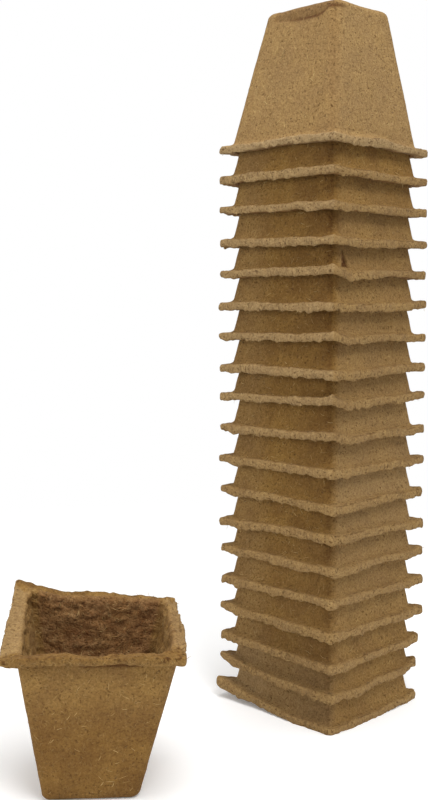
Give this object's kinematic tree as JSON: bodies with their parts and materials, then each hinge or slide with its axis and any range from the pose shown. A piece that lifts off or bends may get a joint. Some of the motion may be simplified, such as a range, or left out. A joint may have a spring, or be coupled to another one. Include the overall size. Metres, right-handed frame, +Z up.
{
  "type": "peat pot set",
  "caption": "Square tapered peat-fibre plant pots: a nested stack standing mouth down, with a single pot standing upright beside it.",
  "frame": {"origin": "middle of the square underside of the lowest stacked pot's rim, on the floor", "axes": "+Z up along the stack; X and Y along the sides of the stacked pots, with the pot's shorter base side along X; the upright pot stands towards -X"},
  "size_m": [0.281, 0.1235, 0.4131],
  "materials": {
    "peat_fibre": "rough moulded fibre"
  },
  "bodies": {
    "nested_pot_01": {"nested_pot_01": "peat_fibre"},
    "nested_pot_02": {"nested_pot_02": "peat_fibre"},
    "nested_pot_03": {"nested_pot_03": "peat_fibre"},
    "nested_pot_04": {"nested_pot_04": "peat_fibre"},
    "nested_pot_05": {"nested_pot_05": "peat_fibre"},
    "nested_pot_06": {"nested_pot_06": "peat_fibre"},
    "nested_pot_07": {"nested_pot_07": "peat_fibre"},
    "nested_pot_08": {"nested_pot_08": "peat_fibre"},
    "nested_pot_09": {"nested_pot_09": "peat_fibre"},
    "nested_pot_10": {"nested_pot_10": "peat_fibre"},
    "nested_pot_11": {"nested_pot_11": "peat_fibre"},
    "nested_pot_12": {"nested_pot_12": "peat_fibre"},
    "nested_pot_13": {"nested_pot_13": "peat_fibre"},
    "nested_pot_14": {"nested_pot_14": "peat_fibre"},
    "nested_pot_15": {"nested_pot_15": "peat_fibre"},
    "nested_pot_16": {"nested_pot_16": "peat_fibre"},
    "nested_pot_17": {"nested_pot_17": "peat_fibre"},
    "nested_pot_18": {"nested_pot_18": "peat_fibre"},
    "nested_pot_19": {"nested_pot_19": "peat_fibre"},
    "loose_pot": {"loose_pot": "peat_fibre"}
  },
  "joints": [
    {"name": "lift_off_02", "type": "slide", "parent": "nested_pot_01", "child": "nested_pot_02", "axis": [0, 0, 1], "range_m": [0, 0.07]},
    {"name": "lift_off_03", "type": "slide", "parent": "nested_pot_02", "child": "nested_pot_03", "axis": [0, 0, 1], "range_m": [0, 0.07]},
    {"name": "lift_off_04", "type": "slide", "parent": "nested_pot_03", "child": "nested_pot_04", "axis": [0, 0, 1], "range_m": [0, 0.07]},
    {"name": "lift_off_05", "type": "slide", "parent": "nested_pot_04", "child": "nested_pot_05", "axis": [0, 0, 1], "range_m": [0, 0.07]},
    {"name": "lift_off_06", "type": "slide", "parent": "nested_pot_05", "child": "nested_pot_06", "axis": [0, 0, 1], "range_m": [0, 0.07]},
    {"name": "lift_off_07", "type": "slide", "parent": "nested_pot_06", "child": "nested_pot_07", "axis": [0, 0, 1], "range_m": [0, 0.07]},
    {"name": "lift_off_08", "type": "slide", "parent": "nested_pot_07", "child": "nested_pot_08", "axis": [0, 0, 1], "range_m": [0, 0.07]},
    {"name": "lift_off_09", "type": "slide", "parent": "nested_pot_08", "child": "nested_pot_09", "axis": [0, 0, 1], "range_m": [0, 0.07]},
    {"name": "lift_off_10", "type": "slide", "parent": "nested_pot_09", "child": "nested_pot_10", "axis": [0, 0, 1], "range_m": [0, 0.07]},
    {"name": "lift_off_11", "type": "slide", "parent": "nested_pot_10", "child": "nested_pot_11", "axis": [0, 0, 1], "range_m": [0, 0.07]},
    {"name": "lift_off_12", "type": "slide", "parent": "nested_pot_11", "child": "nested_pot_12", "axis": [0, 0, 1], "range_m": [0, 0.07]},
    {"name": "lift_off_13", "type": "slide", "parent": "nested_pot_12", "child": "nested_pot_13", "axis": [0, 0, 1], "range_m": [0, 0.07]},
    {"name": "lift_off_14", "type": "slide", "parent": "nested_pot_13", "child": "nested_pot_14", "axis": [0, 0, 1], "range_m": [0, 0.07]},
    {"name": "lift_off_15", "type": "slide", "parent": "nested_pot_14", "child": "nested_pot_15", "axis": [0, 0, 1], "range_m": [0, 0.07]},
    {"name": "lift_off_16", "type": "slide", "parent": "nested_pot_15", "child": "nested_pot_16", "axis": [0, 0, 1], "range_m": [0, 0.07]},
    {"name": "lift_off_17", "type": "slide", "parent": "nested_pot_16", "child": "nested_pot_17", "axis": [0, 0, 1], "range_m": [0, 0.07]},
    {"name": "lift_off_18", "type": "slide", "parent": "nested_pot_17", "child": "nested_pot_18", "axis": [0, 0, 1], "range_m": [0, 0.07]},
    {"name": "lift_off_19", "type": "slide", "parent": "nested_pot_18", "child": "nested_pot_19", "axis": [0, 0, 1], "range_m": [0, 0.07]},
    {"name": "pick_up_loose_pot", "type": "slide", "parent": "nested_pot_01", "child": "loose_pot", "axis": [0, 0, 1], "range_m": [0, 0.1]}
  ]
}
